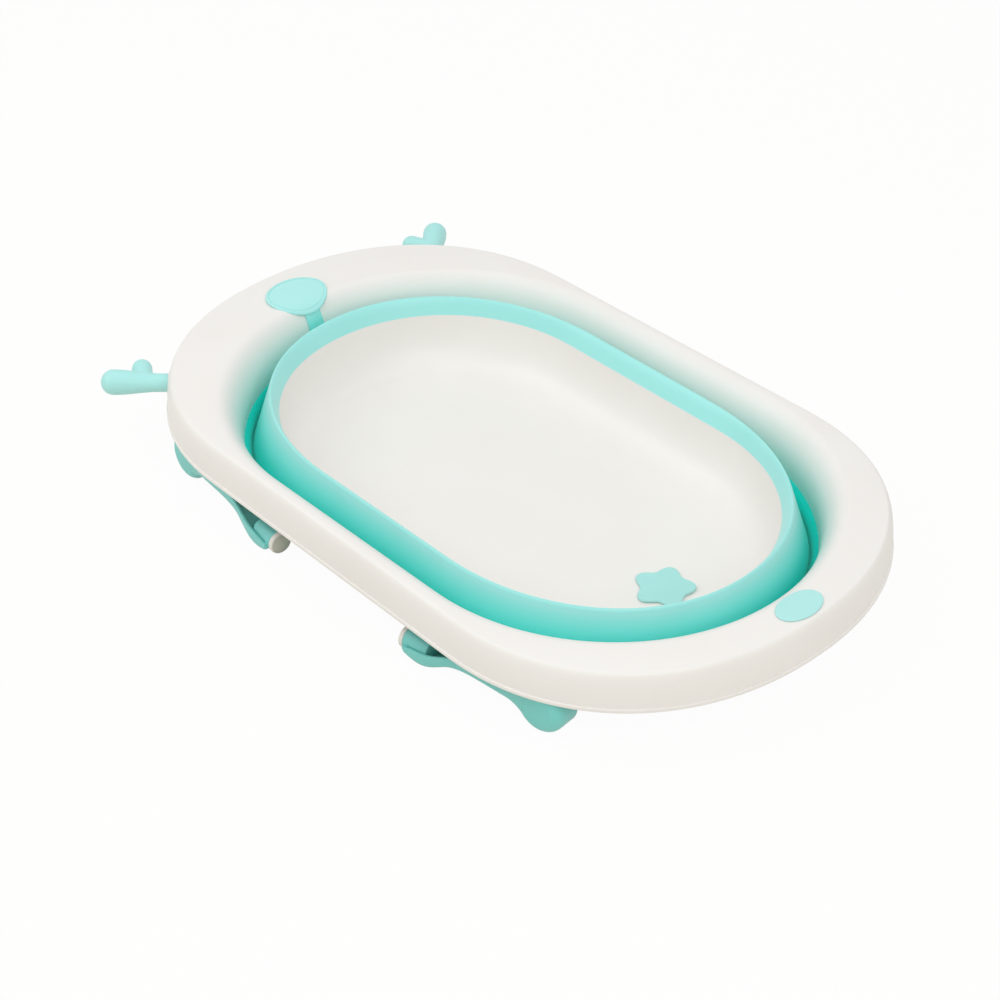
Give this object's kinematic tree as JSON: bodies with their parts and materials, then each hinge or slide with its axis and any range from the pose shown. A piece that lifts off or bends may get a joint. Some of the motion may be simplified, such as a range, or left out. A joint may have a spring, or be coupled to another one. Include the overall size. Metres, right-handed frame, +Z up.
{
  "type": "folding baby bathtub",
  "caption": "Oval folding baby bathtub, folded flat, with a soft folding wall, dished base, swing-out legs, star drain plug, oval nose pad and antler-shaped knobs.",
  "frame": {"origin": "middle of the tub, on the ground it rests on when folded", "axes": "+X from the head end (antlers) to the foot end (badge), +Y to the left, +Z up"},
  "size_m": [0.82, 0.504, 0.0906],
  "materials": {
    "shell": "satin",
    "soft": "satin",
    "mint": "satin",
    "pads": "matt",
    "steel": "plain"
  },
  "bodies": {
    "frame": {"rim_shell": "shell", "folding_wall": "soft", "nose_pad": "soft", "badge_plate": "mint", "antler_left": "mint", "antler_right": "mint", "antler_screws": "steel", "bracket_screws": "steel", "bracket_head_left": "shell", "bracket_head_right": "shell", "bracket_foot_left": "shell", "bracket_foot_right": "shell", "pin_head_left": "steel", "pin_head_right": "steel", "pin_foot_left": "steel", "pin_foot_right": "steel"},
    "base": {"base_panel": "shell", "crest_band": "soft"},
    "plug": {"drain_plug": "soft"},
    "leg_head_left": {"leg_head_left": "mint", "pad_head_left": "pads"},
    "leg_head_right": {"leg_head_right": "mint", "pad_head_right": "pads"},
    "leg_foot_left": {"leg_foot_left": "mint", "pad_foot_left": "pads"},
    "leg_foot_right": {"leg_foot_right": "mint", "pad_foot_right": "pads"}
  },
  "joints": [
    {"name": "base_drop", "type": "slide", "parent": "frame", "child": "base", "axis": [0, 0, -1], "range_m": [0, 0.11], "deforming": ["folding_wall"]},
    {"name": "plug_lift", "type": "slide", "parent": "base", "child": "plug", "axis": [0, 0, 1], "range_m": [0, 0.025]},
    {"name": "leg_head_left_swing", "type": "hinge", "parent": "frame", "child": "leg_head_left", "pos_m": [-0.258, 0.216, 0.026], "axis": [-0.1045, 0.9945, 0], "range_deg": [0, 90]},
    {"name": "leg_head_right_swing", "type": "hinge", "parent": "frame", "child": "leg_head_right", "pos_m": [-0.258, -0.216, 0.026], "axis": [0.1045, 0.9945, 0], "range_deg": [0, 90]},
    {"name": "leg_foot_left_swing", "type": "hinge", "parent": "frame", "child": "leg_foot_left", "pos_m": [0.2705, 0.216, 0.026], "axis": [-0.1045, -0.9945, 0], "range_deg": [0, 90]},
    {"name": "leg_foot_right_swing", "type": "hinge", "parent": "frame", "child": "leg_foot_right", "pos_m": [0.2705, -0.216, 0.026], "axis": [0.1045, -0.9945, 0], "range_deg": [0, 90]}
  ]
}
